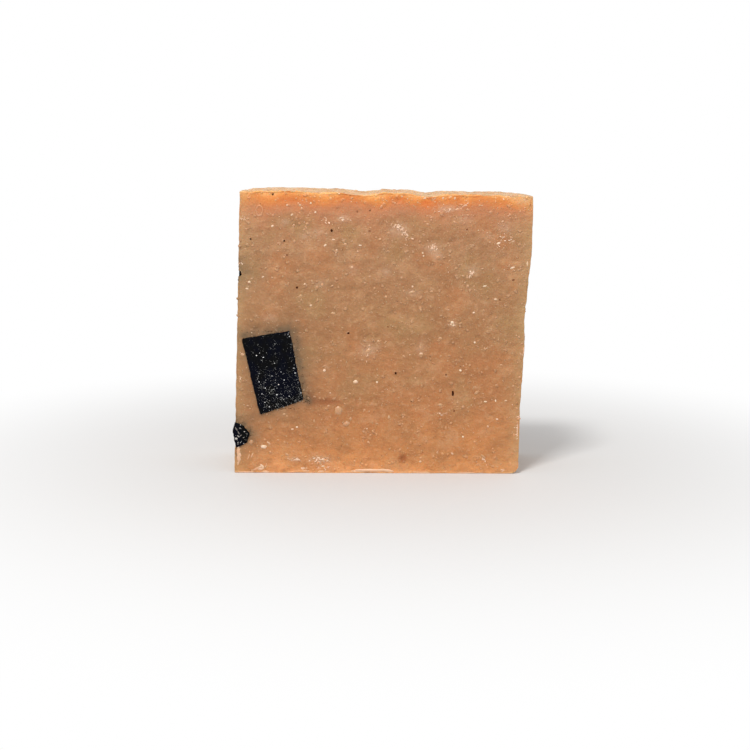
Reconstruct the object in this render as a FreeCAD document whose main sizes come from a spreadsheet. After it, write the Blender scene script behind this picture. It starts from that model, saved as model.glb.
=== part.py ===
# A handmade square bar of soap, one slice of a poured loaf, standing on its cut base.
#
# X runs along the front face, Y from the front face into the bar, and Z up.
# The origin is the middle of the base. The slice leans a little to the right, its top is
# the uneven poured surface of the loaf, and its right side was cut by hand in waves.
# Black soap pieces were cast into the loaf, and the cuts went through them: a block on the
# front face, and two nuggets on the left side that reach round to the front face.
import FreeCAD, Part
import Sketcher
import os

PARTS_FOLDER = "parts"

# Sizes of the slice, in millimetres.
SLICE_SIZES = [
    ("bar_width", 76.0, "width, along the base"),
    ("bar_thickness", 25.0, "front face to back face"),
    ("left_height", 74.3, "height of the left side"),
    ("right_height", 73.3, "height of the right side"),
    ("lean", 2.4, "how far the top lies to the right of the base"),
    ("edge_bevel", 0.4, "bevel of the edges round both faces"),
    ("worn_corner", 2.2, "rounding of the worn corner at the lower right"),
    ("wave_radius", 9.0, "rounding of each wave, in the top and in the right side"),
    ("chip_side", 4.0, "side of the cubes whose corners bite out the chips"),
]

# The uneven top, from left to right: share of the width, and rise over a straight top.
TOP_WAVES = [
    (0.06, 0.45), (0.17, 0.80), (0.34, 0.50), (0.43, 0.00), (0.50, 0.68),
    (0.58, 0.55), (0.645, -0.15), (0.70, 0.45), (0.80, 0.35), (0.86, 0.57), (0.94, 0.30),
]

# The wavy right side, from the base up: share of the height, and distance outside a straight side.
SIDE_WAVES = [(0.23, -0.43), (0.49, -0.16), (0.56, -0.67), (0.81, 0.37)]

# Chips out of the two top edges: share of the width, level of the chip's deepest point over a
# straight top, its distance behind the face that the chip opens to, and that face.
CHIPS = [
    (0.250, 0.05, 0.60, "back"),
    (0.353, -0.15, 0.50, "back"),
    (0.640, -1.20, 0.50, "front"),
    (0.824, -0.05, 0.45, "back"),
    (0.905, -0.35, 0.70, "front"),
]

# The black block, cut flush with the front face. Its corner is the upper left one, its
# sides are given by length and by lean from upright, and its top by length and by rise.
SLAB_SIZES = [
    ("slab_inset", 1.3, "block's corner, from the bar's left side"),
    ("slab_level", 36.2, "block's corner, over the base"),
    ("slab_top", 12.75, "length of the block's top"),
    ("slab_top_rise", 9.7, "slope of the block's top, in degrees"),
    ("slab_left", 20.9, "length of the block's left side"),
    ("slab_left_lean", 12.6, "lean of the block's left side, in degrees"),
    ("slab_right", 18.9, "length of the block's right side"),
    ("slab_right_lean", 11.1, "lean of the block's right side, in degrees"),
    ("slab_depth", 12.6, "depth of the block behind the front face"),
    ("slab_spare", 2.0, "how much of the block the cut took off"),
]

# The lower nugget, an arrow on the front face that points right.
LOW_SIZES = [
    ("low_level", 10.8, "level of the nugget's tip, over the base"),
    ("low_depth", 8.6, "depth of the nugget behind the front face"),
    ("low_taper", 6.0, "how fast it narrows towards the back, in degrees"),
]

# Its corners: distance right of the bar's left side, and height over the tip. The first
# one stands proud of the left side.
LOW_CORNERS = [(-0.6, 0.3), (0.2, -4.2), (3.2, -2.5), (4.0, 0.0), (2.3, 1.9), (0.1, 3.1)]

# The upper nugget, a lump cut off by the left side and by the front face.
HIGH_SIZES = [
    ("high_level", 53.0, "level of the nugget's front corner, over the base"),
    ("high_depth", 2.5, "depth of the nugget from the left side"),
    ("high_taper", 42.0, "how fast it narrows into the bar, in degrees"),
    ("high_spare", 0.3, "how much of the nugget the left cut took off"),
]

# Its corners on the left side: distance behind the front face, and height over the level.
HIGH_CORNERS = [(-1.2, 0.0), (1.4, -3.3), (6.0, -3.9), (8.9, 0.6), (5.2, 4.6), (0.3, 3.7)]

doc = FreeCAD.newDocument("soap")
sheet = doc.addObject("Spreadsheet::Sheet", "Sizes")

FOOT_LEFT = "-(Sizes.bar_width + Sizes.lean) / 2"
FOOT_RIGHT = "(Sizes.bar_width - Sizes.lean) / 2"
FRONT = "Sizes.bar_thickness / 2"


def write_sheet():
    """Puts every driving size in the spreadsheet, under the name that the features use."""
    rows = SLICE_SIZES + SLAB_SIZES + LOW_SIZES + HIGH_SIZES
    rows += pair_rows("top", TOP_WAVES, "share", "rise")
    rows += pair_rows("side", SIDE_WAVES, "share", "out")
    rows += pair_rows("low", LOW_CORNERS, "right", "over")
    rows += pair_rows("high", HIGH_CORNERS, "behind", "over")
    rows += pair_rows("chip", [chip[:2] for chip in CHIPS], "share", "level")
    rows += [(f"chip_depth_{number}", chip[2], "depth") for number, chip in enumerate(CHIPS, 1)]
    for number, (alias, value, note) in enumerate(rows, 1):
        sheet.set(f"A{number}", note)
        sheet.set(f"B{number}", str(value))
        sheet.setAlias(f"B{number}", alias)
    doc.recompute()


def pair_rows(name, pairs, first, second):
    """Sheet rows for a list of pairs, each value numbered from 1."""
    rows = []
    for number, pair in enumerate(pairs, 1):
        rows.append((f"{name}_{first}_{number}", pair[0], first))
        rows.append((f"{name}_{second}_{number}", pair[1], second))
    return rows


def value_of(owner, text):
    """What an expression of the sheet's sizes comes to now, as a plain number."""
    found = owner.evalExpression(text)
    return float(getattr(found, "Value", found))


def left_side_at(level):
    """Where the bar's left side lies along X at a level over the base."""
    return f"({FOOT_LEFT} + Sizes.lean * {level} / Sizes.left_height)"


def top_place(share):
    """Where a share of the top's width lies along X."""
    return f"(Sizes.lean - Sizes.bar_width) / 2 + Sizes.bar_width * {share}"


def top_level(share):
    """The height of a straight top at a share of its width."""
    return f"Sizes.left_height + (Sizes.right_height - Sizes.left_height) * {share}"


def outline_sketch(body, plane_role, corners, offset="0"):
    """A closed outline of straight sides, whose corners are pairs of expressions.

    The sketch lies on one of the body's own origin planes, moved by offset along its normal."""
    sketch = body.newObject("Sketcher::SketchObject", body.Name + "_outline")
    plane = next(item for item in body.Origin.OriginFeatures if item.Role == plane_role)
    sketch.AttachmentSupport = [(plane, "")]
    sketch.MapMode = "FlatFace"
    sketch.setExpression("AttachmentOffset.Base.z", offset)
    places = [[value_of(sketch, text) for text in corner] for corner in corners]
    following = places[1:] + places[:1]
    for start, end in zip(places, following):
        line = Part.LineSegment(FreeCAD.Vector(*start, 0), FreeCAD.Vector(*end, 0))
        sketch.addGeometry(line, False)
    for index in range(len(places)):
        after = (index + 1) % len(places)
        sketch.addConstraint(Sketcher.Constraint("Coincident", index, 2, after, 1))
    for index, corner in enumerate(corners):
        for kind, text, value in zip(("DistanceX", "DistanceY"), corner, places[index]):
            number = sketch.addConstraint(Sketcher.Constraint(kind, -1, 1, index, 1, value))
            sketch.setExpression(f"Constraints[{number}]", text)
    return sketch


def pad(body, sketch, length, taper="0"):
    """Pads a sketch by an expression, and narrows it by a taper in degrees."""
    feature = body.newObject("PartDesign::Pad", body.Name + "_pad")
    feature.Profile = sketch
    feature.setExpression("Length", length)
    feature.setExpression("TaperAngle", f"-{taper}")
    return feature


def through_edge(shape, place):
    """Name of the edge that runs from front to back through a place in the XZ plane."""
    for number, edge in enumerate(shape.Edges, 1):
        ends = [vertex.Point for vertex in edge.Vertexes]
        runs_through = ends[0].y * ends[-1].y < 0
        if runs_through and all(abs(end.x - place[0]) + abs(end.z - place[1]) < 1e-4 for end in ends):
            return f"Edge{number}"
    raise RuntimeError(f"no edge at {place}")


def face_edges(shape):
    """Names of the edges that bound the front and back faces."""
    names = []
    half = sheet.bar_thickness / 2
    for number, edge in enumerate(shape.Edges, 1):
        depths = [vertex.Point.y for vertex in edge.Vertexes]
        if all(abs(abs(depth) - half) < 1e-6 for depth in depths) and min(depths) * max(depths) > 0:
            names.append(f"Edge{number}")
    return names


def dress(body, kind, name, base, edges, size):
    """Rounds or bevels the named edges of a feature: kind is Fillet or Chamfer."""
    feature = body.newObject("PartDesign::" + kind, name)
    feature.Base = (base, edges)
    feature.setExpression("Radius" if kind == "Fillet" else "Size", size)
    doc.recompute()
    return feature


def build_slice():
    """The whole slice of loaf, before its chips and without its black pieces."""
    foot_left = (FOOT_LEFT, "0")
    foot_right = (FOOT_RIGHT, "0")
    side = []
    for number in range(1, len(SIDE_WAVES) + 1):
        share = f"Sizes.side_share_{number}"
        out = f"{FOOT_RIGHT} + Sizes.lean * {share} + Sizes.side_out_{number}"
        side.append((out, f"Sizes.right_height * {share}"))
    top_right = (top_place("1"), "Sizes.right_height")
    top = []
    for number in range(len(TOP_WAVES), 0, -1):
        share = f"Sizes.top_share_{number}"
        top.append((top_place(share), f"{top_level(share)} + Sizes.top_rise_{number}"))
    top_left = (top_place("0"), "Sizes.left_height")

    body = doc.addObject("PartDesign::Body", "loaf_slice")
    outline = outline_sketch(body, "XZ_Plane", [foot_left, foot_right, *side, top_right, *top, top_left])
    block = pad(body, outline, "Sizes.bar_thickness")
    block.SideType = "Symmetric"
    doc.recompute()
    worn_place = [value_of(block, text) for text in foot_right]
    worn_edges = [through_edge(block.Shape, worn_place)]
    worn = dress(body, "Fillet", "worn_corner_round", block, worn_edges, "Sizes.worn_corner")
    wave_places = [[value_of(block, text) for text in wave] for wave in side + top]
    wave_edges = [through_edge(worn.Shape, place) for place in wave_places]
    waves = dress(body, "Fillet", "wave_round", worn, wave_edges, "Sizes.wave_radius")
    dress(body, "Chamfer", "face_edge_bevel", waves, face_edges(waves.Shape), "Sizes.edge_bevel")
    return body


def build_chips():
    """Cubes whose corners bite the chips out of the top edges, from outside and above."""
    cubes = []
    for number, (_, _, _, face) in enumerate(CHIPS, 1):
        cube = doc.addObject("Part::Box", f"chip_{number}")
        outward = -1 if face == "front" else 1
        turn = FreeCAD.Rotation(FreeCAD.Vector(1, 1, 1), FreeCAD.Vector(0, outward, 1))
        cube.Placement = FreeCAD.Placement(FreeCAD.Vector(), turn)
        share = f"Sizes.chip_share_{number}"
        for side in ("Length", "Width", "Height"):
            cube.setExpression(side, "Sizes.chip_side")
        cube.setExpression("Placement.Base.x", top_place(share))
        cube.setExpression("Placement.Base.y", f"{outward} * ({FRONT} - Sizes.chip_depth_{number})")
        cube.setExpression("Placement.Base.z", f"{top_level(share)} + Sizes.chip_level_{number}")
        cubes.append(cube)
    together = doc.addObject("Part::Compound", "chips")
    together.Links = cubes
    return together


def build_slab_blank():
    """The black block as it was before the cut, standing out of the front face."""
    left = left_side_at("Sizes.slab_level") + " + Sizes.slab_inset"
    level = "Sizes.slab_level"
    right = f"{left} + Sizes.slab_top * cos(Sizes.slab_top_rise * 1 deg)"
    right_level = f"{level} + Sizes.slab_top * sin(Sizes.slab_top_rise * 1 deg)"
    corners = [
        (left, level),
        (f"{left} + Sizes.slab_left * sin(Sizes.slab_left_lean * 1 deg)",
         f"{level} - Sizes.slab_left * cos(Sizes.slab_left_lean * 1 deg)"),
        (f"{right} + Sizes.slab_right * sin(Sizes.slab_right_lean * 1 deg)",
         f"{right_level} - Sizes.slab_right * cos(Sizes.slab_right_lean * 1 deg)"),
        (right, right_level),
    ]
    body = doc.addObject("PartDesign::Body", "slab_blank")
    outline = outline_sketch(body, "XZ_Plane", corners, f"{FRONT} + Sizes.slab_spare")
    pad(body, outline, "Sizes.slab_depth + Sizes.slab_spare").Reversed = True
    return body


def build_low_nugget():
    """The lower nugget. It stays whole where it stands proud of the left side."""
    left = left_side_at("Sizes.low_level")
    corners = []
    for number in range(1, len(LOW_CORNERS) + 1):
        corners.append((f"{left} + Sizes.low_right_{number}", f"Sizes.low_level + Sizes.low_over_{number}"))
    body = doc.addObject("PartDesign::Body", "low_nugget")
    outline = outline_sketch(body, "XZ_Plane", corners, FRONT)
    pad(body, outline, "Sizes.low_depth", "Sizes.low_taper").Reversed = True
    body.Label = "black_nugget_low"
    return body


def build_high_blank():
    """The upper nugget before both cuts, from outside the left side into the bar."""
    corners = []
    for number in range(1, len(HIGH_CORNERS) + 1):
        corners.append((
            f"Sizes.high_behind_{number} - {FRONT}",
            f"Sizes.high_level + Sizes.high_over_{number}",
        ))
    body = doc.addObject("PartDesign::Body", "high_blank")
    left = left_side_at("Sizes.high_level")
    outline = outline_sketch(body, "YZ_Plane", corners, f"{left} - Sizes.high_spare")
    pad(body, outline, "Sizes.high_depth + Sizes.high_spare", "Sizes.high_taper")
    return body


def boolean(kind, label, base, tool):
    """A Part::Cut or Part::Common of two shapes."""
    feature = doc.addObject(kind, label)
    feature.Base = base
    feature.Tool = tool
    return feature


def build_nodes():
    """The soap and its black pieces, which meet it face to face."""
    whole = boolean("Part::Cut", "chipped_slice", build_slice(), build_chips())
    slab, low, high = build_slab_blank(), build_low_nugget(), build_high_blank()
    blanks = doc.addObject("Part::Compound", "blanks")
    blanks.Links = [slab, low, high]
    nodes = [
        boolean("Part::Cut", "soap_bar", whole, blanks),
        boolean("Part::Common", "black_slab", whole, slab),
        low,
        boolean("Part::Common", "black_nugget_high", whole, high),
    ]
    doc.recompute()
    return nodes


def check_and_export(nodes):
    """Stops if any object failed or any node isn't one sound solid, and then writes the nodes."""
    for item in doc.Objects:
        if "Invalid" in item.State or "Error" in item.State:
            raise RuntimeError(f"{item.Label} failed: {item.State}")
    for node in nodes:
        if node.Shape.isNull() or not node.Shape.isValid() or len(node.Shape.Solids) != 1:
            raise RuntimeError(f"{node.Label} isn't one sound solid")
    os.makedirs(PARTS_FOLDER, exist_ok=True)
    for node in nodes:
        node.Shape.exportStep(os.path.join(PARTS_FOLDER, node.Label + ".step"))
        print(node.Label, "volume", round(node.Shape.Volume, 1))


write_sheet()
check_and_export(build_nodes())
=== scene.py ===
# A handmade square bar of orange soap, with black soap pieces cast into it.
#
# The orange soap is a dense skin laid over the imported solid's outline, roughened like cut
# soap, and cut out round the black pieces. Grains, flakes, seeds and crystals are small
# meshes set into its surface. Lengths in this script are millimetres until a mesh is made.
import math

import bmesh
import bpy
import numpy as np
from mathutils import Matrix, Vector, noise
from mathutils.bvhtree import BVHTree


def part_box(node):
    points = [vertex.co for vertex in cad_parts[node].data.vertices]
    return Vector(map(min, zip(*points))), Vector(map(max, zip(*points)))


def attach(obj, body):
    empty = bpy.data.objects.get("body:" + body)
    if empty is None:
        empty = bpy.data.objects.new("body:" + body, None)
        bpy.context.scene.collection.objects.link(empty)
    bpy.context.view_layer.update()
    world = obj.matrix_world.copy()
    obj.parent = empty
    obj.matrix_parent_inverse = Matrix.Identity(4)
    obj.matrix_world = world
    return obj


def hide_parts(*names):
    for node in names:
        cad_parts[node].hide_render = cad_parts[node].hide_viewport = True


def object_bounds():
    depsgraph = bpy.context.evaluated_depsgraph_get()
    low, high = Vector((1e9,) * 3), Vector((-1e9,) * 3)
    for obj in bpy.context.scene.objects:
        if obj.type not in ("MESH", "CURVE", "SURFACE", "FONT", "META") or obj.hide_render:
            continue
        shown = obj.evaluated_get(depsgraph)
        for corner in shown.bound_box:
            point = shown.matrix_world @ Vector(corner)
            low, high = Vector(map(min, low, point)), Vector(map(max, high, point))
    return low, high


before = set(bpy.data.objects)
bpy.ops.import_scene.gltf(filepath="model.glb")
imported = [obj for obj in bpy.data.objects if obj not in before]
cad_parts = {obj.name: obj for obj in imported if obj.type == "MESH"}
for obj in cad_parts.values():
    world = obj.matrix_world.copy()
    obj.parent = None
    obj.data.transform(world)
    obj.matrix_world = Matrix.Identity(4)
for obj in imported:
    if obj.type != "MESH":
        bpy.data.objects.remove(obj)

MM = 0.001
SEED = 11

cad_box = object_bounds()
BOX_LOW, BOX_HIGH = (np.array(corner) / MM for corner in cad_box)
SOAP_LOW, SOAP_HIGH = (np.array(corner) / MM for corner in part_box("soap_bar"))
FRONT, BACK = SOAP_LOW[1], SOAP_HIGH[1]
WIDTH, THICKNESS, HEIGHT = SOAP_HIGH - SOAP_LOW
BLACK_NODES = ("black_slab", "black_nugget_low", "black_nugget_high")
# How much painted shade each black piece lays on the soap round it, where it shows dark through the
# clear soap: close by, and faintly from further off.
BLACK_SHADES = ((1.0, 0.12), (0.8, 0.09), (0.6, 0.02))
WIDE_REACH = 12.0

# The photograph's camera, solved from the outline of the bar.
PHOTO_SIDE = 750
SENSOR = 36.0
LENS = 64.7
CAMERA_SIDEWAYS = -1.63
CAMERA_DISTANCE = 350.7
CAMERA_LEVEL = 87.57
CAMERA_DOWN = math.radians(9.85)
CAMERA_ROLL = math.radians(0.2)
CAMERA_PLACE = Vector((CAMERA_SIDEWAYS, FRONT - CAMERA_DISTANCE, CAMERA_LEVEL))
CAMERA_TURN = Matrix.Rotation(math.radians(90) - CAMERA_DOWN, 3, "X") @ Matrix.Rotation(CAMERA_ROLL, 3, "Z")

# The skin of the soap: the spacing of its points, how far the bar's left side leans over, the
# places of points near an edge, and how deep the surface lies under the solid's.
SKIN_STEP = 0.50
SIDE_LEAN = 2.4
EDGE_STOPS = (0.0, 0.10, 0.22, 0.36, 0.54, 0.78, 1.10)
SKIN_DEPTH = 0.32
EDGE_ROUND = 0.30
TOP_ROUND = 3.0
CORNER_CURL = (0.55, 0.40)
# How far under the top the painted glow of light through the top edge reaches.
GLOW_REACH = 10.0

# White crystals in each black piece: how many, and their least and greatest half length.
CRYSTALS = ((950, 0.035, 0.10), (60, 0.05, 0.18), (40, 0.05, 0.16))

# The light, the strength of the surroundings, and where the floor fades into white.
LIGHT_PLACE = Vector((-100.0, -250.0, 510.0))
LIGHT_SIDE = 100.0
LIGHT_POWER = 1.78
SURROUNDINGS = 0.77
FLOOR_HALF = 3000.0
FLOOR_FADE = (50.0, 170.0)

# Places in the photograph, in its pixels, with sizes in millimetres and slopes in degrees.
# Dark seeds: place, length and height.
SEEDS = [
    (272.8, 194.4, 0.56, 0.56), (331.6, 230.6, 0.62, 0.75), (250.5, 239.1, 0.56, 0.44),
    (284.2, 240.8, 0.5, 0.5), (296.9, 287.6, 0.62, 0.62), (348.3, 333.2, 0.62, 0.62),
    (395.7, 373.3, 0.56, 0.69), (452.9, 393.7, 0.62, 1.5), (446, 375, 0.38, 0.38),
]
# Faint brown seeds under the surface: place, length and height.
FAINT_SEEDS = [
    (369.9, 210.7, 0.6, 0.5), (467.1, 229.6, 0.5, 0.5), (287, 255, 0.45, 0.45), (513.4, 280.1, 0.9, 0.5),
    (454.2, 411, 0.4, 0.8), (411.5, 401.5, 0.4, 0.4), (369.5, 231, 0.8, 0.4), (500, 300, 0.5, 0.4),
    (388, 327, 0.5, 0.4),
]
# Glints on the lower black piece: place, length, height, and slope if it has one.
NUGGET_GLINTS = [
    (236.2, 429, 1.3, 0.34, -58), (238.6, 432.8, 1.1, 0.3, -62), (238.2, 436.2, 0.9, 0.28, -40),
    (240.6, 435.6, 1, 0.26, 42), (236.2, 438.6, 0.8, 0.6), (244.4, 431.6, 0.4, 0.3),
    (240, 428.2, 0.6, 0.24, -20), (246, 440, 0.3, 0.3), (243.6, 437.6, 0.5, 0.22, 30),
    (238, 442.6, 0.5, 0.24, 60), (242, 424.9, 0.36, 0.2, -30), (247, 434, 0.26, 0.3),
]
# Black crumbs that the knife dragged out: place, half length, half height and how many.
CRUMBS = [
    (306.8, 399.6, 1.1, 1.1, 34), (302.5, 385, 0.26, 4.2, 22), (285, 408.8, 5, 0.26, 26),
    (268, 331.8, 5, 0.24, 30), (297.5, 346, 0.26, 3.8, 18), (249.8, 433, 0.3, 1.2, 8),
]
# Bright crystals that stand out on the black block: place, length and height.
SLAB_GLINTS = [
    (256.4, 355.5, 0.3, 0.3), (263.2, 357.4, 0.36, 0.3), (274.5, 363.3, 0.26, 0.22),
    (259.1, 381.9, 0.32, 0.3), (265.3, 388.1, 0.34, 0.32), (277, 394.7, 0.36, 0.34),
    (269.3, 406.6, 0.28, 0.28), (284.1, 380.1, 0.28, 0.26), (295.1, 373, 0.28, 0.28),
    (289.4, 336.5, 0.26, 0.26), (294.4, 357.1, 0.24, 0.26), (293.8, 368.1, 0.26, 0.22),
    (278.6, 384.6, 0.3, 0.28), (264.9, 402.5, 0.26, 0.26), (283.5, 407.3, 0.26, 0.24),
    (301, 392.9, 0.22, 0.22), (289.2, 396.3, 0.26, 0.26), (272, 376, 0.24, 0.22), (281, 372, 0.22, 0.2),
    (262, 394, 0.26, 0.24),
]
# Bright grains that stand out: place, length, height, and slope if it has one.
GRAINS = [
    (263.5, 447, 1.8, 1), (268.6, 443.2, 1.3, 0.5, -38), (325, 245.4, 1, 0.5, 40),
    (336.7, 250.3, 0.6, 0.6), (357.7, 251.5, 0.5, 0.5, 60), (333.4, 239.5, 0.9, 0.4),
    (359.7, 245.4, 1.1, 0.4), (352, 267.3, 0.6, 0.8, 70), (291.8, 214.8, 0.9, 0.5, 40),
    (300, 205.1, 0.8, 0.7), (287.2, 205.1, 0.7, 0.5), (310.7, 203.1, 0.6, 0.5, 30),
    (310.7, 305.6, 0.8, 0.5, 35), (249, 282.1, 0.8, 0.6), (246.9, 288.8, 0.9, 0.5),
    (304.6, 284.2, 0.7, 0.6), (262.8, 277, 0.7, 0.4, 20), (422.8, 253.1, 0.5, 0.5),
    (423.6, 256.1, 0.5, 0.5), (498.8, 243.4, 1.2, 0.6, 20), (512.6, 267.9, 1.4, 0.5, 20),
    (412.6, 286.7, 0.6, 0.6), (485, 286.2, 1.2, 0.4, 10), (473.8, 312.8, 0.7, 0.5, 20),
    (495.7, 299.5, 1, 0.6), (438.1, 257.9, 1, 0.8), (452.3, 322.5, 0.9, 0.7), (369.4, 345.7, 0.6, 0.6),
    (324.5, 370.7, 0.8, 0.8), (355.6, 382, 1.3, 1), (377, 382.4, 0.7, 0.6), (421.2, 353.9, 1.1, 0.7),
    (474.8, 342.7, 0.6, 0.6), (460.5, 370.7, 0.6, 0.8, 60), (485.5, 401.8, 0.9, 0.4),
    (495.7, 401.3, 0.4, 0.9), (505.9, 400.8, 0.8, 0.4, 10), (497.2, 419.5, 0.7, 0.5),
    (488, 426.8, 0.6, 0.7), (463, 437, 0.6, 0.6), (452.3, 453.9, 0.8, 0.6, -40),
    (420.2, 462, 0.8, 0.7, 30), (435.2, 198.4, 0.8, 0.4, 70), (443.2, 198.2, 0.8, 0.5, 60),
    (455, 198.4, 0.8, 0.5, 70), (424.5, 198.6, 1, 0.4, 10), (402, 196.5, 0.6, 0.4),
    (262, 466, 1.4, 0.5, -40), (258.4, 467.8, 1.7, 0.36, 27), (453.6, 325.6, 0.6, 0.5),
    (451.4, 325, 0.4, 0.4), (239.6, 449.6, 0.5, 0.3, 60), (240.4, 459.6, 0.6, 0.3, 80),
    (237.6, 455.2, 0.4, 0.3, 80), (314, 458.6, 0.8, 0.4, 20), (318.5, 458, 0.9, 0.4, -10),
    (322.5, 459.8, 1, 0.45), (327, 461.2, 0.8, 0.4, 15), (319, 462, 0.8, 0.4, -20),
    (297, 459.6, 1, 0.45, -15), (323, 466.5, 0.9, 0.4, 5), (303, 468.6, 1.2, 0.35, -8),
    (309.4, 461, 0.6, 0.35, 30), (292.3, 429.4, 0.8, 0.5), (296.9, 427.3, 0.7, 0.5),
    (389, 416.6, 0.5, 0.6), (315.3, 212.2, 0.6, 0.5, 40), (272.4, 226, 0.6, 0.8, -50),
]
# Pale clear blobs that swell out of the face: place, length, height, and slope if it has one.
BLOBS = [
    (338.3, 411, 2.1, 2.8), (355.5, 382.5, 1.5, 1.15), (346.5, 424, 2, 1.5, 20),
    (251, 442.4, 1.5, 1.3, 40), (310.8, 459.8, 0.7, 0.6), (313, 457.4, 0.6, 0.5, 20),
    (317, 456.8, 0.9, 0.5), (321.4, 456.6, 0.7, 0.5), (325.4, 458, 0.8, 0.6, -20),
    (328.4, 459.6, 0.6, 0.5), (316, 462.6, 0.6, 0.5), (320.4, 463.8, 0.8, 0.5), (324.2, 463, 0.6, 0.5),
    (329.2, 462.6, 0.5, 0.5), (294.6, 458.4, 1, 0.6), (299.2, 460.6, 1.2, 0.6, -20),
    (350.5, 419, 0.9, 0.9), (420.5, 347.5, 0.9, 1.3), (421.3, 354.5, 1.3, 0.9), (438.1, 257.9, 1.6, 1.2),
    (348, 332.5, 0.5, 0.5), (440.5, 338.5, 1, 0.8), (412, 292.5, 2.2, 0.9, 15), (431.5, 291.5, 1, 0.7),
    (368, 351, 2, 1.2, 40), (386, 297, 0.8, 0.8), (333, 313.5, 1.4, 0.7), (317, 287.5, 1, 1),
    (322, 285, 0.8, 1.1), (476.5, 393, 1.3, 0.9, 40), (440.5, 405, 1.3, 0.8), (345.5, 244.5, 1, 0.8),
    (483.5, 457, 1.6, 0.8, -40), (389, 418, 0.8, 0.8), (314, 421, 0.5, 1.1), (378.5, 341.5, 1, 0.7),
    (287, 455, 1.3, 0.8, -20), (284, 414.5, 0.9, 0.7), (360, 400, 0.8, 0.6), (300.5, 296, 1, 0.8),
]
# Thin pale lips where the edges were pressed, partly painted light: a highlight along the bottom edge
# and light through the soap at the right edge. Place, length, height, and slope if it has one.
LIPS = [
    (372, 470.6, 9.4, 0.95), (363, 471.2, 6, 0.7, 2), (386, 470.9, 5, 1, -8), (352.5, 471.8, 3, 0.5, -4),
    (257.4, 468.4, 3, 0.55, 26), (262, 467.4, 1.9, 0.7, -42), (260.2, 469, 2, 1),
    (265.6, 472, 1.9, 0.7, -5), (238.4, 451.6, 3.2, 1.1, 86), (238.8, 458.4, 2.6, 1.2, 96),
    (238, 463.5, 1.4, 0.6, 85), (238.2, 447, 1.2, 0.7, 75), (239.2, 455, 1.9, 1.3, 90),
    (252, 455.5, 1.8, 0.35, 65), (248.5, 457, 1.6, 0.3, 70), (305, 471.3, 3, 0.35), (247, 472.2, 5, 0.3),
    (517.6, 430, 6.4, 0.35, 87), (519.2, 418, 1.8, 0.4, 85), (420, 472.6, 6, 0.25),
    (470, 472.8, 7, 0.25), (523.6, 351, 2.2, 0.35, 88), (321, 471.6, 2, 0.4, 4),
    (527.5, 264, 1.4, 0.45, 88), (451, 197, 0.6, 0.4),
]
# Scuffed places where flakes stand up: place, half length, half height, slope and how many.
SCUFFS = [
    (398, 226.5, 1.7, 0.9, -20, 38), (405.5, 234.5, 1.5, 0.8, -35, 32), (433.5, 247, 1.6, 0.7, -42, 28),
    (471.5, 273.5, 1.9, 0.6, 45, 22), (464, 206, 2.4, 0.5, 28, 22), (511, 196.5, 2.6, 0.5, 17, 24),
    (449, 210, 1.8, 0.5, 8, 12), (503, 240, 2.6, 2, 0, 18), (452.5, 324, 0.9, 0.7, 0, 12),
    (294, 459.5, 2, 0.5, -12, 18), (321, 459.5, 2.6, 0.7, 10, 28), (304, 468.5, 1.6, 0.4, -8, 12),
    (323, 468, 1.8, 0.4, 5, 10), (370, 470.3, 3.6, 0.3, 1, 22), (261.5, 467.5, 1.5, 0.5, 20, 14),
    (243.4, 218.5, 0.6, 1, 60, 12), (324.5, 219.5, 1.2, 0.8, -40, 10), (443, 414, 1.3, 0.5, -10, 10),
    (483, 459.5, 1.3, 0.5, -48, 9), (522, 354, 0.5, 1, 70, 8), (345, 219, 1.4, 0.4, 0, 6),
    (367, 356, 1.2, 1, 40, 8), (517.3, 430, 0.25, 3.2, 0, 16), (504, 470.5, 0.9, 0.4, 0, 7),
    (239.5, 378, 0.5, 0.7, -50, 9), (242.5, 354, 0.4, 0.6, 60, 5), (240.5, 263, 0.3, 0.9, 80, 6),
]
# Dents and swellings: place, half length, half height, and depth, which is minus for a swelling.
DENTS = [
    (402.3, 459, 0.9, 1.15, 0.48), (330.5, 402, 4.5, 0.9, 0.16), (430, 200.5, 1.5, 1.6, 0.25),
    (338.3, 411, 0.75, 1.1, -0.2), (360, 334, 0.9, 0.6, 0.16), (495, 307, 1, 0.5, 0.16),
    (338, 303, 1.3, 0.6, 0.14), (328, 290, 1.6, 0.5, 0.15), (400, 427, 1.6, 0.7, 0.13),
    (355, 290, 2.2, 0.5, 0.14), (435, 283, 2.4, 0.6, 0.13), (469, 377, 1.5, 0.6, 0.12),
]
# The rims of bubbles that the cut opened: place, half length, half height and thickness.
BUBBLES = [
    (259.2, 210.7, 0.85, 1.3, 0.16), (421, 347, 0.4, 0.6, 0.12), (467, 248, 0.4, 0.5, 0.1),
]
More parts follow.
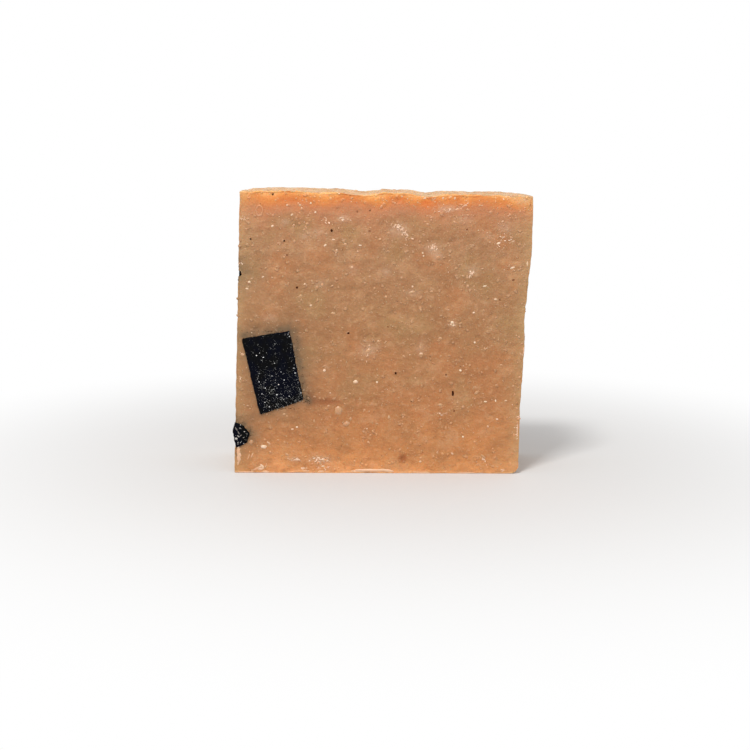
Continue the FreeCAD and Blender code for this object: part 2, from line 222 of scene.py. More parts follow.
# Marks on the front face: place, half length, half height, and strength. They are brown stains, grey
# smudges that add to the painted shade round the black pieces, a milky haze, and embers, which are a
# painted deep orange glow of light through the soap under the top edge.
MARKS = {
    "brown": [
        (309.5, 400.5, 1.6, 1.6, 0.7), (325, 401.5, 3.6, 1.3, 0.85), (339, 419.5, 1.3, 0.5, 0.45),
        (402.3, 459.5, 1.1, 1.4, 1), (251, 420, 1.2, 0.9, 0.35), (495, 307, 1.1, 0.5, 0.35),
        (400, 427, 1.4, 0.6, 0.4), (331, 402, 3.4, 0.7, 0.35), (310, 394, 0.8, 1.1, 0.3),
        (369, 231, 0.8, 0.4, 0.4), (404.5, 459, 0.5, 1.2, 0.5),
    ],
    "grey": [
        (306.5, 399, 1.2, 1.1, 0.25), (308.5, 402.5, 0.8, 0.8, 0.15), (298, 348, 0.8, 4, 0.2),
        (330, 284, 1.3, 0.9, 0.22), (252, 417, 1.6, 1, 0.25),
    ],
    "haze": [
        (399, 230, 2, 1.5, 0.62), (433, 249, 1.6, 1.4, 0.5), (473, 270, 1.8, 1.2, 0.4),
        (367, 350, 2.2, 2, 0.38), (421, 348, 1.2, 2, 0.28), (353, 270, 1.2, 1.2, 0.28),
        (269, 318, 1.6, 1, 0.38), (305, 235, 1.8, 1.2, 0.35), (343.5, 218.5, 1.4, 0.8, 0.55),
        (447, 208.8, 2.6, 0.8, 0.6), (505, 228, 2.4, 1.4, 0.28), (465, 219, 1.6, 1.2, 0.28),
        (284, 222.5, 1.4, 1, 0.38), (452.5, 324, 1, 1, 0.4), (320, 284, 1.2, 1.2, 0.28),
        (386, 272, 1.4, 1, 0.32), (321, 460, 2.8, 1.1, 0.4), (296, 459.5, 1.6, 0.8, 0.38),
        (412, 293, 1.6, 0.9, 0.4), (438, 257, 1.1, 0.9, 0.4), (523, 199.5, 2.2, 1.4, 0.45),
        (377, 347, 1, 0.8, 0.3), (318, 232, 1.6, 1, 0.25), (487, 236, 1.6, 1, 0.25),
    ],
    "ember": [
        (427.5, 202, 1.7, 1.6, 0.95), (436.5, 204, 0.5, 1.4, 0.6), (452.5, 198.5, 2.2, 1, 0.6),
        (400, 199, 4, 1.2, 0.55), (296, 199.5, 5, 1, 0.55), (268, 197.5, 4, 0.9, 0.35),
        (345, 198.5, 4, 0.9, 0.35), (502, 199.5, 2, 0.7, 0.35),
    ],
}


def photo_point(across, down):
    """The point of the bar's front face that a pixel of the photograph shows."""
    focal = LENS / SENSOR * PHOTO_SIDE
    ray = CAMERA_TURN @ Vector((across - PHOTO_SIDE / 2, PHOTO_SIDE / 2 - down, -focal))
    return CAMERA_PLACE + ray * ((FRONT - CAMERA_PLACE.y) / ray.y)


def shape_tree(piece):
    """A search tree over a made piece's faces, in millimetres."""
    points = [vertex.co / MM for vertex in piece.data.vertices]
    return BVHTree.FromPolygons(points, [polygon.vertices for polygon in piece.data.polygons])


def tree_of(node):
    """A search tree over a CAD node's faces, in millimetres."""
    return shape_tree(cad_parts[node])


SOAP_TREE = tree_of("soap_bar")
BLACK_TREES = [tree_of(node) for node in BLACK_NODES]
# The outline is read behind the black pieces, where nothing is cut out of the soap.
OUTLINE_PLANE = BACK - 0.3 * THICKNESS
OUTLINE_STEPS = 220
SHOULDER = 2.2
CORNER_MARGIN = 0.15


def outline_reach(places, axis, from_high):
    """How far the solid reaches along X or Z at each place, seen from its high or its low side."""
    away = 1.0 if from_high else -1.0
    reached = []
    for place in places:
        start = Vector((place, OUTLINE_PLANE, place))
        start[axis] = away * 200.0
        way = Vector((0.0, 0.0, 0.0))
        way[axis] = -away
        reached.append(SOAP_TREE.ray_cast(start, way)[0][axis])
    return np.array(reached)


# The sides are read up to the shoulder, where both corners of the top are still above.
levels = np.linspace(0.02, HEIGHT - SHOULDER, OUTLINE_STEPS)
left_side = outline_reach(levels, 0, False)
right_side = outline_reach(levels, 0, True)
spans = np.linspace(left_side[-1] + CORNER_MARGIN, right_side[-1] - CORNER_MARGIN, OUTLINE_STEPS)
top_side = outline_reach(spans, 2, True)


def sides_at(level):
    """Where the bar's left and right sides are at a level."""
    return np.interp(level, levels, left_side), np.interp(level, levels, right_side)


def top_at(across):
    """The level of the bar's top at a place across it."""
    return np.interp(across, spans, top_side)


def stops_along(length, step):
    """Places along a side: close together at both ends, and evenly spaced between."""
    ends = np.array(EDGE_STOPS)
    inner_length = length - 2 * ends[-1]
    inner = np.linspace(ends[-1], length - ends[-1], max(2, round(inner_length / step)) + 1)
    return np.concatenate([ends[:-1], inner, (length - ends[:-1])[::-1]])


def box_skin(xs, ys, zs):
    """Points and quads of a box's surface on a lattice with the given places along each side."""
    counts = [len(xs), len(ys), len(zs)]
    # Each side: the axis across it, its end, and its quads' corners along the other two axes.
    sides = (
        (1, 0, ((0, 0), (1, 0), (1, 1), (0, 1))), (1, 1, ((0, 1), (1, 1), (1, 0), (0, 0))),
        (0, 0, ((1, 0), (0, 0), (0, 1), (1, 1))), (0, 1, ((1, 1), (0, 1), (0, 0), (1, 0))),
        (2, 0, ((0, 1), (1, 1), (1, 0), (0, 0))), (2, 1, ((0, 0), (1, 0), (1, 1), (0, 1))),
    )
    quads = []
    for axis, end, corners in sides:
        others = [other for other in range(3) if other != axis]
        cells = np.meshgrid(*(np.arange(counts[other] - 1) for other in others), indexing="ij")
        codes = []
        for steps in corners:
            place = [end * (counts[axis] - 1)] * 3
            for other, cell, step in zip(others, cells, steps):
                place[other] = cell + step
            codes.append(((place[0] * counts[1] + place[1]) * counts[2] + place[2]).ravel())
        quads.append(np.stack(codes, axis=1))
    quads = np.concatenate(quads)
    used, compact = np.unique(quads, return_inverse=True)
    along = (used // (counts[1] * counts[2]), used // counts[2] % counts[1], used % counts[2])
    places = np.stack([stops[at] for stops, at in zip((xs, ys, zs), along)], axis=1)
    return places, compact.reshape(quads.shape)


def round_edges(places, sides):
    """Rounds a box's edges by an uneven radius, and the long edges of its top by a larger one."""
    wear = np.array([noise.noise(Vector(place) / 5.0 + Vector((7.0, 3.0, 1.0))) for place in places])
    radius = EDGE_ROUND * np.clip(1.0 + 1.6 * wear, 0.45, 2.6)[:, None] * np.ones(3)
    near_top = np.clip((places[:, 2] - (sides[2] - 4.0)) / 2.0, 0.0, 1.0)
    radius[:, 1] *= 1.0 + (TOP_ROUND - 1.0) * near_top
    radius[:, 2] *= 1.0 + (TOP_ROUND * 0.4 - 1.0) * near_top
    inner = np.clip(places, radius, np.array(sides) - radius)
    away = (places - inner) / radius
    reach = np.linalg.norm(away, axis=1, keepdims=True)
    return inner + away / np.maximum(reach, 1e-9) * np.minimum(1.0, reach) * radius


def lay_on_outline(places, sides):
    """Bends a straight box onto the bar: leaning left side, wavy right side and uneven top."""
    share_x, share_z = places[:, 0] / sides[0], places[:, 2] / sides[2]
    z = places[:, 2].copy()
    for _ in range(3):
        left, right = sides_at(z)
        x = left * (1 - share_x) + right * share_x
        z = share_z * top_at(x)
    near_top = np.clip(1.0 - (top_at(x) - z) / 4.0, 0.0, 1.0)
    curl = CORNER_CURL[0] * np.exp(-share_x * WIDTH / 4.0)
    curl += CORNER_CURL[1] * np.exp(-(1.0 - share_x) * WIDTH / 4.0)
    z += near_top * curl * np.exp(-places[:, 1] / 8.0)
    return np.stack([x, places[:, 1] + FRONT, z], axis=1)


def put(name, data):
    """Puts a new object in the scene."""
    made = bpy.data.objects.new(name, data)
    bpy.context.scene.collection.objects.link(made)
    return made


def mesh_object(name, points, faces):
    """A mesh object from points in millimetres."""
    mesh = bpy.data.meshes.new(name)
    mesh.from_pydata((np.asarray(points) * MM).tolist(), [], np.asarray(faces).tolist())
    mesh.update()
    return put(name, mesh)


def values_of(items, name, width=3):
    """A vector, or a value where the width is 1, of each point or face of a mesh."""
    values = np.empty(len(items) * width)
    items.foreach_get(name, values)
    return values.reshape(-1, width).squeeze()


def mesh_points(piece):
    """A piece's points in millimetres, and its normals there."""
    vertices = piece.data.vertices
    return values_of(vertices, "co") / MM, values_of(vertices, "normal")


def set_points(piece, points):
    """Moves a piece's points, given in millimetres."""
    piece.data.vertices.foreach_set("co", (points * MM).ravel())
    piece.data.update()


def cut_face_depth(point):
    """Depth in millimetres of a cut face under its plane: broad hollows, drag marks and lumps."""
    broad = noise.noise(point / 13.0) * 0.06
    drag = noise.noise(Vector((point.x / 5.0, point.y / 5.0, point.z / 1.5)) + Vector((5, 9, 2))) * 0.05
    lumps = noise.noise(point / 1.35 + Vector((3, 1, 7))) * 0.08
    pits = max(0.0, noise.noise(point / 2.1 + Vector((9, 4, 4))) - 0.32) * 0.8
    return broad + drag + lumps + pits


def poured_top_depth(point):
    """Depth in millimetres of the poured top: soft peaks and a grainy crust."""
    peaks = noise.noise(Vector((point.x / 5.0, point.y / 3.2, 1.0))) * 0.30
    folds = abs(noise.noise(Vector((point.x / 7.0, point.y / 2.6, 4.0)))) * 0.45 - 0.10
    crust = noise.noise(point / 1.2 + Vector((8, 8, 8))) * 0.25
    return peaks + folds + crust


def edge_crumble(point, from_edge):
    """Extra depth in millimetres near an edge, where bits broke off."""
    near = max(0.0, 1.0 - from_edge / 1.1)
    broken = max(0.0, noise.noise(point / 1.5 + Vector((2, 6, 5))) - 0.04)
    return near * near * broken * 0.7


def spots_at(point, spots):
    """What soft spots of the front face add up to at a point."""
    total = 0.0
    for middle, half_length, half_height, strength in spots:
        off = ((point.x - middle.x) / half_length) ** 2 + ((point.z - middle.z) / half_height) ** 2
        total += strength * math.exp(-off) if off < 6.0 else 0.0
    return total


def placed(rows):
    """Rows that start with the point of the front face that their pixel shows."""
    return [(photo_point(*row[:2]), *row[2:]) for row in rows]


DENT_PLACES = placed(DENTS)
MARK_PLACES = {name: placed(rows) for name, rows in MARKS.items()}


def roughen_soap(piece):
    """Sinks the skin a little and unevenly, so that it looks cut, poured and handled."""
    points, normals = mesh_points(piece)
    for index, (place, normal) in enumerate(zip(points, normals)):
        point = Vector(place)
        left, right = sides_at(point.z)
        from_sides = min(point.x - left, right - point.x, top_at(point.x) - point.z)
        from_faces = min(point.y - FRONT, BACK - point.y)
        upward = max(0.0, normal[2])
        facing = abs(normal[1])
        depth = SKIN_DEPTH * facing + cut_face_depth(point) * (1.0 - upward)
        depth += poured_top_depth(point) * upward + edge_crumble(point, max(from_sides, from_faces))
        if normal[1] < -0.7:
            depth += spots_at(point, DENT_PLACES)
        under = max(0.0, -normal[2])
        depth = max(depth, 0.02 * facing - 0.3 * (1.0 - facing)) * (1.0 - under)
        points[index] -= normal * depth
    points = np.clip(points, [BOX_LOW[0], FRONT, 0.0], [BOX_HIGH[0], BACK, BOX_HIGH[2]])
    set_points(piece, points)


def build_soap_skin():
    """The whole bar as one closed skin, before the black pieces are cut out."""
    sides = (WIDTH - SIDE_LEAN, THICKNESS, HEIGHT)
    steps = (SKIN_STEP, SKIN_STEP * 1.7, SKIN_STEP)
    places, quads = box_skin(*(stops_along(side, step) for side, step in zip(sides, steps)))
    piece = mesh_object("soap_body", lay_on_outline(round_edges(places, sides), sides), quads)
    roughen_soap(piece)
    return piece


def remeshed_copy(node, name, voxel):
    """A dense copy of a CAD node's solid, with even faces of about one voxel."""
    copy = put(name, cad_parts[node].data.copy())
    copy.data.materials.clear()
    modifier = copy.modifiers.new("even", "REMESH")
    modifier.mode = "VOXEL"
    modifier.voxel_size = voxel * MM
    bake_modifiers(copy)
    return copy


def bake_modifiers(piece):
    """Puts what a piece's modifiers make into its mesh."""
    evaluated = piece.evaluated_get(bpy.context.evaluated_depsgraph_get())
    mesh = bpy.data.meshes.new_from_object(evaluated)
    piece.modifiers.clear()
    old = piece.data
    piece.data = mesh
    bpy.data.meshes.remove(old)
    mesh.name = piece.name


def build_black_piece(node, name, voxel, ragged, sink, narrow=0.0):
    """A black soap piece with a ragged outline, and the shape that cuts its socket.

    The cutting shape is the same piece, drawn out past the bar's faces. Narrow takes that
    much more off the piece where it comes up to the front face."""
    piece = remeshed_copy(node, name, voxel)
    points, normals = mesh_points(piece)
    for index, (place, normal) in enumerate(zip(points, normals)):
        point = Vector(place)
        rough = noise.noise(point / 2.6) * 0.9 + noise.noise(point / 0.8 + Vector((4, 4, 1))) * 0.6
        rough += noise.noise(point / 0.38) * 0.4
        less = narrow * math.exp(-(point.y - FRONT) / 1.2)
        points[index] -= normal * (sink + less + ragged * rough)
    low, high = (np.array(corner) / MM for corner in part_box(node))
    points = np.clip(points, [low[0], FRONT + 0.02, low[2]], high)
    set_points(piece, points)

    cutter = put(name + "_socket", piece.data.copy())
    drawn = points.copy()
    at_front = drawn[:, 1] < FRONT + 0.7
    drawn[at_front, 1] = FRONT - 1.0 - (FRONT + 0.7 - drawn[at_front, 1])
    if node != "black_slab":
        at_left = drawn[:, 0] < sides_at(drawn[:, 2])[0] + 0.55
        drawn[at_left, 0] -= 1.2
    set_points(cutter, drawn)
    return piece, cutter


def cut_sockets(soap, cutters):
    """Cuts the black pieces' sockets out of the soap."""
    for cutter in cutters:
        modifier = soap.modifiers.new("socket", "BOOLEAN")
        modifier.operation = "DIFFERENCE"
        modifier.solver = "MANIFOLD"
        modifier.object = cutter
    bake_modifiers(soap)
    for cutter in cutters:
        bpy.data.objects.remove(cutter)


def store(piece, name, values):
    """Stores a value from 0 to 1 at each point of a piece, for its material to read."""
    piece.data.attributes.new(name, "FLOAT", "POINT").data.foreach_set("value", np.clip(values, 0, 1))


def mark_depth(piece):
    """Stores how far each point lies under the top, as a share of the reach of the top's glow."""
    points, _ = mesh_points(piece)
    store(piece, "under_top", (top_at(points[:, 0]) - points[:, 2]) / GLOW_REACH)


def black_piece_shade(point):
    """How much painted shade the black pieces lay on the soap at a point, where they show dark through the
    clear soap: a dark rim, and a wide faint shade.

    The rim is darkest above a piece and to its right."""
    darkest, shade = 0.0, 0.0
    for tree, (close, faint) in zip(BLACK_TREES, BLACK_SHADES):
        found, _, _, distance = tree.find_nearest(point, 25.0)
        if found is None:
            continue
        away = point - found
        lean = (away.x + away.z) / max(distance, 0.05)
        rim = math.exp(-((distance / 2.4) ** 1.6)) * min(1.0, max(0.3, 0.65 + 0.4 * lean))
        darkest = max(darkest, close * rim)
        shade += faint * math.exp(-((distance / WIDE_REACH) ** 2))
    return darkest, shade


def mark_soap(soap):
    """Stores painted light near the sides, painted shade round the black pieces, and the marks."""
    points, normals = mesh_points(soap)
    marks = {name: np.zeros(len(points)) for name in ("painted_edge_light", *MARK_PLACES)}
    for index, place in enumerate(points):
        point = Vector(place)
        # Painted shade round the black pieces, made patchy.
        patchy = 0.88 + 0.45 * noise.noise(point / 1.4)
        rim, shade = black_piece_shade(point)
        marks["grey"][index] = patchy * rim + shade
        # Painted light: paler where light shines through the soap near its left and right sides.
        left, right = sides_at(point.z)
        marks["painted_edge_light"][index] = math.exp(-max(0.0, min(point.x - left, right - point.x)) / 2.2)
        if normals[index][1] < -0.5:
            for name, spots in MARK_PLACES.items():
                marks[name][index] += spots_at(point, spots)
    store(soap, "lid", normals[:, 2])
    for name, values in marks.items():
        store(soap, name, values)


def ball_template(detail):
    """Points and triangles of a unit ball."""
    shape = bmesh.new()
    bmesh.ops.create_icosphere(shape, subdivisions=detail, radius=1.0)
    points = np.array([vertex.co for vertex in shape.verts])
    faces = np.array([[vertex.index for vertex in face.verts] for face in shape.faces])
    shape.free()
    return points, faces


COARSE_BALL = ball_template(1)
FINE_BALL = ball_template(2)


def lump(draw, ball, place, normal, slope, half_sizes, jitter, sink):
    """One small lump on a surface: long along its slope, and sunk by a share of its height."""
    upright = Vector(normal).normalized()
    level = Vector((0, 0, 1)).cross(upright)
    across = (level if level.length > 0.3 else Vector((1, 0, 0))).normalized()
    across = Matrix.Rotation(slope, 3, upright) @ across
    along = upright.cross(across)
    rough = 1.0 + jitter * draw.uniform(-1, 1, size=len(ball[0]))[:, None]
    shape = ball[0] * rough * np.array(half_sizes)
    axes = np.array([across, along, upright])
    return shape @ axes + np.array(place) - np.array(upright) * half_sizes[2] * sink, ball[1]


def join_lumps(name, lumps):
    """One piece of many lumps, each given as its points and faces."""
    points, faces, start = [], [], 0
    for lump_points, lump_faces in lumps:
        points.append(lump_points)
        faces.append(lump_faces + start)
        start += len(lump_points)
    joined = np.clip(np.concatenate(points), [BOX_LOW[0], FRONT, 0.0], [BOX_HIGH[0], BACK, BOX_HIGH[2]])
    return mesh_object(name, joined, np.concatenate(faces))


def front_hit(tree, x, z, deepest):
    """The point and normal of a surface seen from the front, or None where it lies deeper."""
    place, normal, _, _ = tree.ray_cast(Vector((x, FRONT - 5.0, z)), Vector((0, 1, 0)))
    return (place, normal) if place is not None and place.y < FRONT + deepest else None


def on_front(tree, across, down):
    """The point and normal of a piece's real surface at a pixel of the photograph."""
    place = photo_point(across, down)
    for nudge in (0.0, 0.4, -0.4, 0.8, -0.8):
        hit = front_hit(tree, place.x + nudge, place.z, 2.0)
        if hit:
            return hit
    raise ValueError(f"nothing at {across}, {down}")


def near_pixel(draw, tree, across, down, half_length, half_height, slope, count):
    """Random points and normals of the front face round a pixel, in a patch with a slope."""
    middle = photo_point(across, down)
    turn = math.radians(slope)
    for _ in range(count):
        run, rise = draw.normal(0, 0.5) * half_length, draw.normal(0, 0.5) * half_height
        x = middle.x + run * math.cos(turn) - rise * math.sin(turn)
        z = middle.z + run * math.sin(turn) + rise * math.cos(turn)
        hit = front_hit(tree, x, z, 1.5)
        if hit:
            yield hit


def scattered_places(draw, soap, count, crowding):
    """Random points and normals on the soap's outer faces, more of them where crowding is high."""
    faces = soap.data.polygons
    centres, normals = values_of(faces, "center") / MM, values_of(faces, "normal")
    left, right = sides_at(centres[:, 2])
    outer = np.minimum.reduce([
        centres[:, 0] - left, right - centres[:, 0], top_at(centres[:, 0]) - centres[:, 2],
        centres[:, 1] - FRONT, BACK - centres[:, 1],
    ]) < 1.3
    weights = values_of(faces, "area", 1) * outer * (centres[:, 2] > 0.5) * crowding(centres, normals)
    chosen = draw.choice(len(faces), size=count, p=weights / weights.sum())
    wander = draw.uniform(-0.2, 0.2, size=(count, 3))
    wander -= normals[chosen] * (wander * normals[chosen]).sum(axis=1, keepdims=True)
    return centres[chosen] + wander, normals[chosen]


def grain_crowding(centres, normals):
    """Grains lie in loose clusters, thicker towards the top and the right."""
    clusters = np.array([noise.noise(Vector(place) / 5.5 + Vector((1, 5, 3))) for place in centres])
    lift = 0.38 + 1.0 * (centres[:, 2] / HEIGHT) ** 3 + 0.25 * (centres[:, 0] > 5)
    lift *= np.where(normals[:, 2] > 0.5, 0.45, 1.0) * np.where(abs(normals[:, 1]) > 0.6, 1.0, 0.75)
    return lift * np.clip(0.36 + 1.7 * clusters, 0.10, 1.3)


def away_from_front(centres, normals):
    """The back, the sides and the top, where the photograph shows nothing."""
    return (centres[:, 1] > FRONT + 3.0) & (normals[:, 2] > -0.5)


def build_grains(draw, soap, name, count, sizes, flatness, sink, crowding=grain_crowding):
    """Small soap grains all over the bar. Half lengths run between the two sizes, most of them small."""
    places, normals = scattered_places(draw, soap, count, crowding)
    lumps = []
    for place, normal in zip(places, normals):
        half = sizes[0] + (sizes[1] - sizes[0]) * draw.random() ** 3
        level = abs(normal[1]) > 0.7
        height = half * flatness * (1.0 if level else 0.6)
        halves = (half * draw.uniform(1.0, 1.4), half * draw.uniform(0.7, 1.0), height)
        slope = draw.normal(0.0, 0.8)
        deep = sink if level else max(sink, 0.65)
        ball = FINE_BALL if half > 0.3 else COARSE_BALL
        lumps.append(lump(draw, ball, place, normal, slope, halves, 0.18, deep))
    piece = join_lumps(name, lumps)
    # The painted shade round the black pieces, so that grains there darken with the soap.
    greys = [sum(black_piece_shade(Vector(place))) for place in places]
    store(piece, "grey", np.repeat(greys, [len(points) for points, _ in lumps]))
    return piece


def build_named_lumps(draw, tree, name, rows, jitter, sink, height_share):
    """Lumps at named places of the photograph: place, length, height and slope."""
    lumps = []
    for row in rows:
        place, _ = on_front(tree, *row[:2])
        slope = math.radians(row[4]) if len(row) > 4 else 0.0
        halves = (row[2] / 2, row[3] / 2, min(row[2], row[3]) / 2 * height_share)
        lumps.append(lump(draw, FINE_BALL, place, Vector((0, -1, 0)), slope, halves, jitter, sink))
    return join_lumps(name, lumps)


def build_flakes(draw, soap_tree):
    """Thin flakes that stand up a little where the face was scuffed."""
    lumps = []
    for row in SCUFFS:
        for place, _ in near_pixel(draw, soap_tree, *row):
            tilt = Vector((draw.normal(0, 0.35), -1.0, draw.normal(0.25, 0.35)))
            length = draw.uniform(0.16, 0.55)
            halves = (length, length * draw.uniform(0.14, 0.42), 0.05)
            turn = math.radians(row[4]) + draw.normal(0, 0.6)
            lumps.append(lump(draw, COARSE_BALL, place, tilt, turn, halves, 0.3, 0.2))
    return join_lumps("soap_flakes", lumps)


def build_crumbs(draw, soap_tree):
    """Black crumbs smeared into the soap beside the black pieces."""
    lumps = []
    for *patch, count in CRUMBS:
        for place, normal in near_pixel(draw, soap_tree, *patch, 0.0, count):
            half = draw.uniform(0.04, 0.11)
            halves = (half * 1.4, half, half * 0.6)
            lumps.append(lump(draw, COARSE_BALL, place, normal, draw.uniform(0, 3.1), halves, 0.3, 0.2))
    return join_lumps("black_crumbs", lumps)


def build_bubble_rims(soap_tree):
    """Thin raised rings where the cut opened a bubble."""
    around, across = 28, 8
    steps = [(ring, side) for ring in range(around) for side in range(across)]
    faces = np.array([
        [(ring + on) % around * across + (side + up) % across for on, up in ((0, 0), (1, 0), (1, 1), (0, 1))]
        for ring, side in steps
    ])
    lumps = []
    for pixel_across, pixel_down, half_length, half_height, thick in BUBBLES:
        place, _ = on_front(soap_tree, pixel_across, pixel_down)
        points = []
        for ring, side in steps:
            turn, roll = math.tau * ring / around, math.tau * side / across
            wobble = 1.0 + 0.08 * noise.noise(Vector((math.cos(turn), math.sin(turn), thick)) * 2.0)
            out = wobble + thick * math.cos(roll) / half_length
            points.append((
                place.x + half_length * out * math.cos(turn),
                place.y - 0.6 * thick * math.sin(roll),
                place.z + half_height * out * math.sin(turn),
            ))
        lumps.append((np.array(points), faces))
    return join_lumps("bubble_rims", lumps)


def build_sparkles(draw, black_pieces):
    """White crystals in the black soap, thickest in the lower part of the block."""
    lumps = []
    for piece, (count, least, most) in zip(black_pieces, CRYSTALS):
        points, normals = mesh_points(piece)
        low, high = points[:, 2].min(), points[:, 2].max()
        share = (points[:, 2] - low) / (high - low)
        shown = (normals[:, 1] < -0.6) | (points[:, 0] < sides_at(points[:, 2])[0] + 0.5)
        patchy = np.array([noise.noise(Vector(place) / 1.6) for place in points])
        lean_x = points[:, 0] + (points[:, 2] - low) * 0.22
        share_x = (lean_x - lean_x.min()) / (lean_x.max() - lean_x.min())
        crowding = 0.10 + 1.4 * np.clip(0.62 - share, 0.0, 0.42) + 0.22 * (share_x > 0.86)
        crowding *= np.clip(share_x * 8.0 - 0.3, 0.1, 1.0)
        weights = shown * crowding * np.clip(0.6 + patchy, 0.15, 1.5) + 1e-9
        for index in draw.choice(len(points), size=count, p=weights / weights.sum()):
            half = least + (most - least) * draw.random() ** 2.5
            halves = (half * draw.uniform(0.9, 1.25), half * draw.uniform(0.7, 1), half * 0.8)
            place = points[index] + draw.uniform(-0.18, 0.18, size=3) * np.array([1, 0, 1])
            turn = draw.uniform(0, 3.1)
            lumps.append(lump(draw, COARSE_BALL, place, normals[index], turn, halves, 0.25, 0.25))
    return join_lumps("black_soap_crystals", lumps)


def linear(red, green, blue):
    """A colour for a shader, from its 8-bit screen values."""
    shares = [value / 255 for value in (red, green, blue)]
    return (*[s / 12.92 if s <= 0.04045 else ((s + 0.055) / 1.055) ** 2.4 for s in shares], 1.0)


def feed(tree, node, inputs):
    """Sets or links a node's inputs."""
    for name, value in inputs.items():
        if isinstance(value, bpy.types.NodeSocket):
            tree.links.new(value, node.inputs[name])
        else:
            node.inputs[name].default_value = value


def add(tree, kind, inputs=None, **settings):
    """Adds a shader node, with its settings and inputs."""
    made = tree.nodes.new("ShaderNode" + kind)
    for name, value in settings.items():
        setattr(made, name, value)
    feed(tree, made, inputs or {})
    return made


def millimetres(tree):
    """The place on the object, in millimetres."""
    place = add(tree, "TexCoord").outputs["Object"]
    return add(tree, "VectorMath", {0: place, "Scale": 1 / MM}, operation="SCALE").outputs[0]


def speckle(tree, place, size, detail=2.0, stretch=(1, 1, 1)):
    """Noise whose features are about size millimetres across."""
    scaled = moved(tree, place, stretch, "MULTIPLY")
    inputs = {"Vector": scaled, "Scale": 1.0 / size, "Detail": detail, "Roughness": 0.55}
    return add(tree, "TexNoise", inputs).outputs[0]


def between(tree, value, low, high, start=0.0, end=1.0, course="SMOOTHSTEP"):
    """Maps a value from low..high to start..end with no overshoot, smoothly unless told otherwise."""
    inputs = {"Value": value, "From Min": low, "From Max": high, "To Min": start, "To Max": end}
    return add(tree, "MapRange", inputs, interpolation_type=course).outputs[0]


def times(tree, first, second):
    """One value times another."""
    return add(tree, "Math", {0: first, 1: second}, operation="MULTIPLY").outputs[0]


def plus(tree, first, second):
    """One value plus another."""
    return add(tree, "Math", {0: first, 1: second}, operation="ADD").outputs[0]


def blend_in(tree, factor, under, over):
    """Lays one colour over another by a factor."""
    return add(tree, "Mix", {0: factor, 6: under, 7: over}, data_type="RGBA").outputs[2]


def moved(tree, first, second, operation):
    """One vector changed by another."""
    return add(tree, "VectorMath", {0: first, 1: second}, operation=operation).outputs[0]


def bent(tree, place, size, reach):
    """A place that wanders by up to about reach millimetres, with features about size across."""
    inputs = {"Vector": place, "Scale": 1.0 / size, "Detail": 1.0}
    wander = add(tree, "TexNoise", inputs).outputs["Color"]
    centred = moved(tree, wander, (0.5, 0.5, 0.5), "SUBTRACT")
    return moved(tree, place, moved(tree, centred, (reach * 2, reach * 2, reach * 2), "MULTIPLY"), "ADD")


def height_of(tree, place):
    """The height in a place."""
    return add(tree, "SeparateXYZ", {0: place}).outputs[2]


def spots(tree, place, size, radius, share):
    """Soft round spots: cell size and spot radius in millimetres, in a share of the cells."""
    cells = add(tree, "TexVoronoi", {"Vector": place, "Scale": 1.0 / size})
    cell_share = add(tree, "SeparateColor", {0: cells.outputs["Color"]}).outputs[0]
    chosen = between(tree, cell_share, share, share - 0.08)
    return times(tree, between(tree, cells.outputs["Distance"], radius / size, radius / size * 0.4), chosen)


def mark(tree, name):
    """A value stored on the mesh."""
    return add(tree, "Attribute", attribute_name=name).outputs["Fac"]


def new_material(name):
    """An empty node material, and the tree and shader to fill in."""
    material = bpy.data.materials.new(name)
    material.use_nodes = True
    tree = material.node_tree
    return material, tree, tree.nodes["Principled BSDF"]


def fill(tree, shader, colour, roughness, gloss=0.5, wax=(0.0, 0.0), bumps=None):
    """Fills in a shader, with how much of the light goes in, how far it goes, and the bumps.

    The bumps are a height and how many millimetres its 1 stands for. Red light goes furthest."""
    feed(tree, shader, {
        "Base Color": colour, "Roughness": roughness, "Specular IOR Level": gloss,
        "Subsurface Weight": wax[0], "Subsurface Radius": (1.0, 0.42, 0.2), "Subsurface Scale": wax[1] * MM,
    })
    if bumps:
        inputs = {"Height": bumps[0], "Distance": bumps[1] * MM, "Strength": 1.0}
        feed(tree, shader, {"Normal": add(tree, "Bump", inputs).outputs[0]})


def ramp(tree, value, stops):
    """A colour that changes along a value from 0 to 1, with stops of a position and a screen colour."""
    made = add(tree, "ValToRGB", {0: value})
    elements = made.color_ramp.elements
    while len(elements) < len(stops):
        elements.new(0.5)
    for element, (position, colour) in zip(elements, stops):
        element.position = position
        element.color = linear(*colour)
    return made.outputs[0]


def level_colour(tree, place):
    """The soap's colour by height: orange base (painted warm bounce light), olive brown middle, pinker
    above.
    """
    wander = between(tree, speckle(tree, place, 11.0), 0.3, 0.7, -3.0, 3.0)
    level = plus(tree, height_of(tree, place), wander)
    return ramp(tree, between(tree, level, 0.0, HEIGHT, course="LINEAR"), [
        # The bright orange of the lowest stops is painted warm bounce light from below.
        (0.00, (236, 163, 103)), (0.045, (218, 148, 89)), (0.10, (204, 136, 81)), (0.24, (185, 125, 77)),
        (0.50, (173, 123, 80)), (0.80, (175, 128, 89)), (0.90, (184, 129, 89)),
    ])


def glow_colour(tree, colour, place):
    """Paints a glow of light through the top edge over a colour: golden and orange along the edge, and pink
    below it.
    """
    wander = between(tree, speckle(tree, place, 7.0), 0.3, 0.7, -0.10, 0.10)
    below = plus(tree, mark(tree, "under_top"), wander)
    glow = ramp(tree, below, [
        (0.00, (246, 178, 106)), (0.06, (240, 162, 88)), (0.13, (230, 146, 74)), (0.24, (220, 135, 73)),
        (0.38, (208, 131, 84)), (0.58, (198, 131, 91)), (1.00, (184, 130, 90)),
    ])
    return blend_in(tree, between(tree, below, 1.0, 0.15, 0.0, 0.95), colour, glow)


